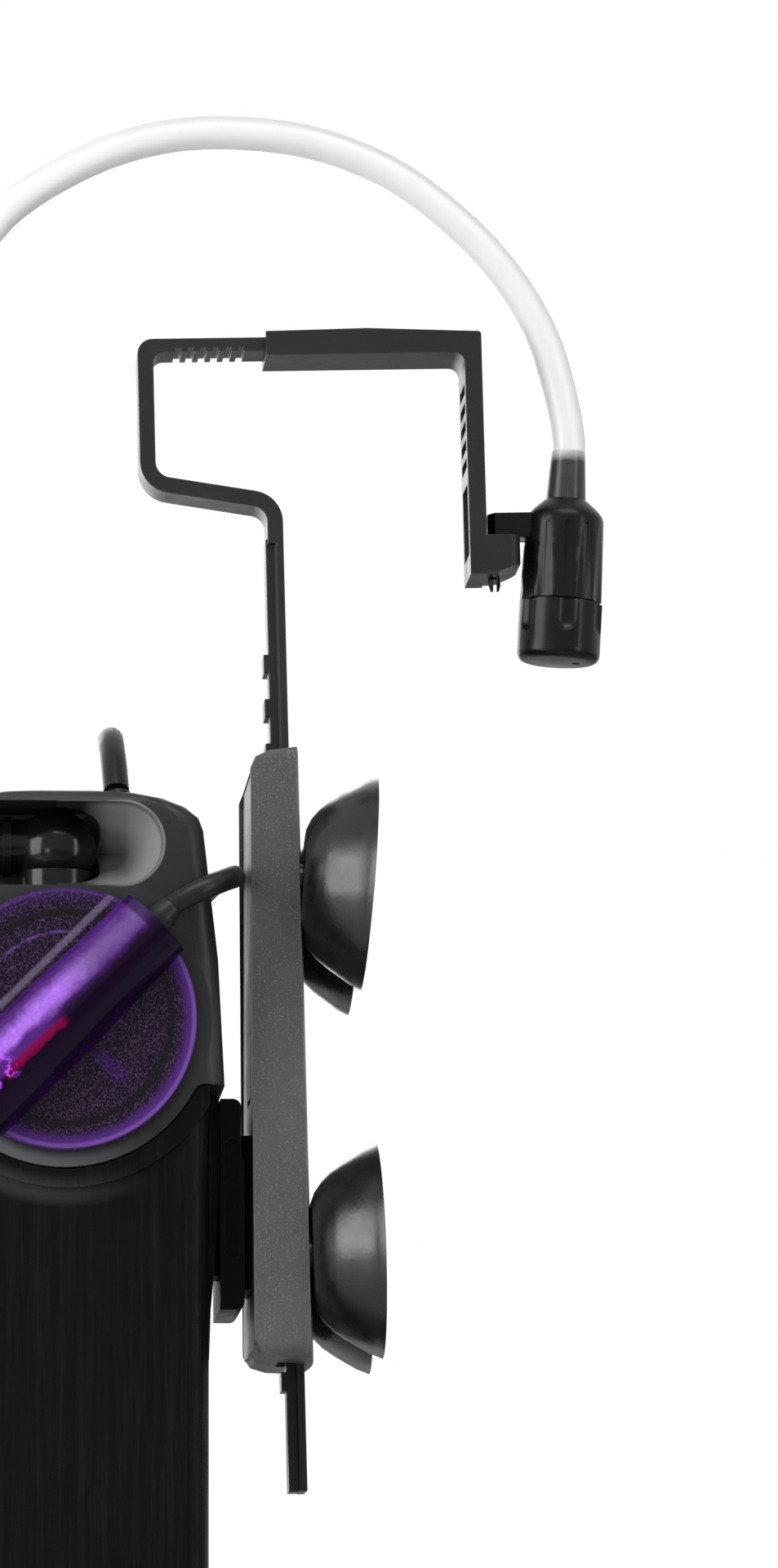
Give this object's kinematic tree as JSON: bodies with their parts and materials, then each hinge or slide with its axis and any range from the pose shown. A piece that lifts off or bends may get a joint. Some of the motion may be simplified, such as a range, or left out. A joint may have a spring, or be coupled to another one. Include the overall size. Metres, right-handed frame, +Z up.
{
  "type": "internal aquarium filter",
  "caption": "Submersible aquarium power filter with a UV lamp knob, swivel outlet, suction-cup bracket, telescoping tank-rim hanger and air regulator.",
  "frame": {"origin": "centre of the flat base of the media cup", "axes": "+Z up, +X towards the bracket with the suction cups, +Y towards the rear, where the leads leave the head"},
  "size_m": [0.189, 0.156, 0.4772],
  "materials": {
    "cup_plastic": "satin black with fine scratches",
    "head_plastic": "charcoal satin",
    "black_gloss": "glossy black",
    "bracket_plastic": "fine-textured charcoal",
    "inner_plastic": "matte",
    "bush_rubber": "matte",
    "sucker_rubber": "glossy dark rubber",
    "cord_rubber": "matte cord jacket",
    "purple_plastic": "translucent purple",
    "clear_hose": "clear flexible hose",
    "lamp_glass": "lamp glass",
    "sponge_foam": "coarse open foam",
    "carbon": "carbon-loaded pad",
    "fleece": "white fleece",
    "core_steel": "laminated steel",
    "copper": "enamelled copper wire",
    "magnet": "ferrite magnet",
    "ceramic_shaft": "polished ceramic",
    "impeller_plastic": "grey",
    "needle_plastic": "white",
    "pin_metal": "plated pins"
  },
  "bodies": {
    "cup_body": {"cup": "cup_plastic", "sponge": "sponge_foam", "intake_tube": "inner_plastic", "media_tray": "inner_plastic", "carbon_pad": "carbon", "fleece_pad": "fleece", "mains_cord": "cord_rubber", "mains_coil": "cord_rubber", "mains_tail": "cord_rubber", "mains_tie": "cord_rubber", "mains_plug": "cord_rubber", "mains_pins": "pin_metal", "uv_cord": "cord_rubber", "uv_coil": "cord_rubber", "uv_tail": "cord_rubber", "uv_tie": "cord_rubber", "uv_plug": "cord_rubber", "uv_pins": "pin_metal"},
    "head_body": {"head": "head_plastic", "stator_core": "core_steel", "winding": "copper", "shaft": "ceramic_shaft", "bush_top": "bush_rubber", "bush_bottom": "bush_rubber", "impeller_cover": "inner_plastic", "mains_gland": "cord_rubber"},
    "rotor_body": {"rotor": "magnet", "impeller": "impeller_plastic"},
    "nozzle_body": {"nozzle": "black_gloss", "nozzle_oring": "bush_rubber", "hose_end_nozzle": "clear_hose"},
    "knob_body": {"knob": "purple_plastic", "knob_oring": "bush_rubber", "uv_lamp": "lamp_glass", "lamp_base": "inner_plastic", "quartz_sleeve": "lamp_glass", "uv_gland": "cord_rubber"},
    "bracket_body": {"clip": "black_gloss", "back_plate": "bracket_plastic", "shell": "bracket_plastic", "sucker_upper_front": "sucker_rubber", "sucker_upper_rear": "sucker_rubber", "sucker_lower_front": "sucker_rubber", "sucker_lower_rear": "sucker_rubber"},
    "strap_body": {"strap": "bracket_plastic"},
    "hook_body": {"hook": "bracket_plastic", "air_hose": "clear_hose"},
    "regulator_body": {"regulator": "black_gloss", "hose_end_regulator": "clear_hose"},
    "cap_body": {"regulator_cap": "black_gloss", "regulator_needle": "needle_plastic"}
  },
  "joints": [
    {"name": "head_lift", "type": "slide", "parent": "cup_body", "child": "head_body", "axis": [0, 0, 1], "range_m": [0, 0.03], "deforming": ["mains_cord"]},
    {"name": "rotor_spin", "type": "hinge", "parent": "head_body", "child": "rotor_body", "pos_m": [0, 0.0089, 0.31], "axis": [0, 0, 1], "continuous": true},
    {"name": "nozzle_swivel", "type": "hinge", "parent": "head_body", "child": "nozzle_body", "pos_m": [-0.0015, -0.018, 0.34], "axis": [0, 0, 1], "range_deg": [0, 120], "deforming": ["air_hose"]},
    {"name": "knob_turn", "type": "hinge", "parent": "head_body", "child": "knob_body", "pos_m": [0, -0.034, 0.3087], "axis": [0, 1, 0], "range_deg": [0, 45], "deforming": ["uv_cord"]},
    {"name": "bracket_slide", "type": "slide", "parent": "cup_body", "child": "bracket_body", "axis": [0, 0, 1], "range_m": [-0.01, 0]},
    {"name": "strap_slide", "type": "slide", "parent": "bracket_body", "child": "strap_body", "axis": [-0.0237, 0, 0.9997], "range_m": [-0.036, 0.072]},
    {"name": "hook_slide", "type": "slide", "parent": "strap_body", "child": "hook_body", "axis": [0.9997, 0, 0.0237], "range_m": [-0.017, 0.011]},
    {"name": "regulator_swivel", "type": "hinge", "parent": "hook_body", "child": "regulator_body", "pos_m": [0.07821, 0, 0.40029], "axis": [-0.0237, 0, 0.9997], "range_deg": [-18, 18]},
    {"name": "cap_turn", "type": "hinge", "parent": "regulator_body", "child": "cap_body", "pos_m": [0.09104, 0, 0.39956], "axis": [0.0565, 0, 0.9984], "range_deg": [0, 180]}
  ]
}
